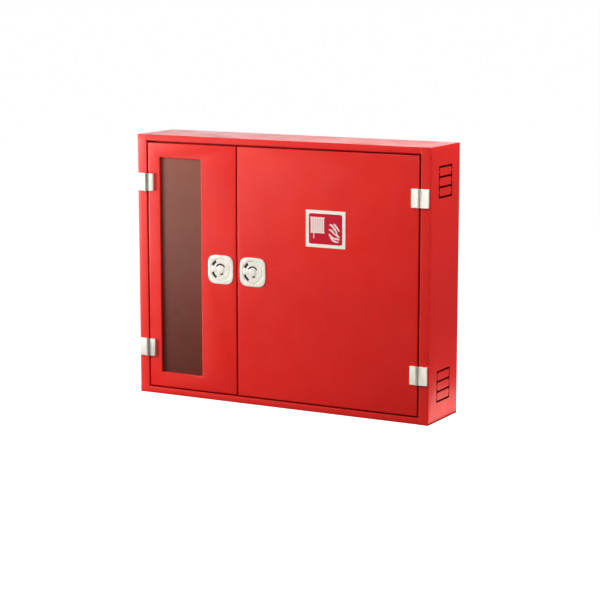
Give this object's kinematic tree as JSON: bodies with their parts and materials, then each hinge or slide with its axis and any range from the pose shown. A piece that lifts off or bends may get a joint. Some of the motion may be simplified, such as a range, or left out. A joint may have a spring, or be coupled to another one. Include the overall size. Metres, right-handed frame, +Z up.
{
  "type": "fire hose and extinguisher cabinet",
  "caption": "Wall-mounted red sheet-steel fire cabinet with a narrow glazed extinguisher door, a wide hose-reel door, turn latches, block hinges, a reel and a stop valve.",
  "frame": {"origin": "centre of the four wall holes, on the face that bears on the wall", "axes": "X to the right along the width, -Y out of the wall towards the user, +Z up"},
  "size_m": [1, 0.215, 0.814],
  "materials": {
    "shell_paint": "satin powder coat",
    "door_paint": "satin powder coat",
    "seal_rubber": "matt",
    "smoked_glass": "smoked, polished",
    "sign_face": "printed film on a thin plate",
    "hinge_metal": "satin plated casting",
    "pin_steel": "turned",
    "zinc_steel": "bright zinc plate",
    "latch_plate": "satin chrome",
    "latch_grip": "satin chrome",
    "bracket_paint": "black powder coat",
    "reel_paint": "gloss enamel",
    "brass": "as cast and turned",
    "wheel_iron": "red enamel",
    "pipe_zinc": "hot-dip zinc"
  },
  "bodies": {
    "cabinet": {"left_side": "shell_paint", "right_side": "shell_paint", "top_panel": "shell_paint", "bottom_panel": "shell_paint", "back_panel": "shell_paint", "divider_panel": "shell_paint", "mullion_angle": "shell_paint", "hinge_frame_leaf_ul": "hinge_metal", "hinge_frame_leaf_ll": "hinge_metal", "hinge_frame_leaf_ur": "hinge_metal", "hinge_frame_leaf_lr": "hinge_metal", "hinge_pin_ul": "pin_steel", "hinge_pin_ll": "pin_steel", "hinge_pin_ur": "pin_steel", "hinge_pin_lr": "pin_steel", "hinge_frame_screws": "zinc_steel", "reel_bracket": "bracket_paint", "bracket_bolts": "zinc_steel", "reel_axle": "brass", "axle_collar": "zinc_steel", "axle_plug": "brass", "stop_valve": "brass", "valve_bonnet": "brass", "feed_pipe": "pipe_zinc", "pipe_clip": "zinc_steel", "extinguisher_hanger": "bracket_paint", "hanger_screws": "zinc_steel"},
    "left_door_leaf": {"left_door": "door_paint", "window_seal": "seal_rubber", "window_glass": "smoked_glass", "glass_retainer": "door_paint", "retainer_nuts": "zinc_steel", "hinge_door_leaf_ul": "hinge_metal", "hinge_door_leaf_ll": "hinge_metal", "hinge_screws_left": "zinc_steel", "latch_body_left": "latch_plate", "latch_nut_left": "zinc_steel"},
    "right_door_leaf": {"right_door": "door_paint", "door_stiffener": "door_paint", "sign_plate": "sign_face", "hinge_door_leaf_ur": "hinge_metal", "hinge_door_leaf_lr": "hinge_metal", "hinge_screws_right": "zinc_steel", "latch_body_right": "latch_plate", "latch_nut_right": "zinc_steel"},
    "latch_left": {"latch_handle_left": "latch_grip", "latch_cam_left": "zinc_steel", "cam_nut_left": "zinc_steel"},
    "latch_right": {"latch_handle_right": "latch_grip", "latch_cam_right": "zinc_steel", "cam_nut_right": "zinc_steel"},
    "hose_reel": {"reel_hub": "brass", "reel_drum": "reel_paint", "reel_disc_back": "reel_paint", "reel_disc_front": "reel_paint", "reel_screws": "zinc_steel", "hose_outlet": "brass"},
    "valve_wheel": {"valve_stem": "pin_steel", "handwheel": "wheel_iron"}
  },
  "joints": [
    {"name": "left_door_swing", "type": "hinge", "parent": "cabinet", "child": "left_door_leaf", "pos_m": [-0.4655, -0.21, 0], "axis": [0, 0, -1], "range_deg": [0, 170]},
    {"name": "right_door_swing", "type": "hinge", "parent": "cabinet", "child": "right_door_leaf", "pos_m": [0.4655, -0.21, 0], "axis": [0, 0, 1], "range_deg": [0, 170]},
    {"name": "left_latch_turn", "type": "hinge", "parent": "left_door_leaf", "child": "latch_left", "pos_m": [-0.2025, -0.19, 0.004], "axis": [0, 1, 0], "range_deg": [0, 90]},
    {"name": "right_latch_turn", "type": "hinge", "parent": "right_door_leaf", "child": "latch_right", "pos_m": [-0.0895, -0.19, 0.004], "axis": [0, -1, 0], "range_deg": [0, 90]},
    {"name": "reel_spin", "type": "hinge", "parent": "cabinet", "child": "hose_reel", "pos_m": [0.175, -0.1, 0], "axis": [0, 1, 0], "continuous": true},
    {"name": "valve_turn", "type": "hinge", "parent": "cabinet", "child": "valve_wheel", "pos_m": [0.425, -0.157, 0.302], "axis": [0, 1, 0], "range_deg": [0, 1260]}
  ]
}
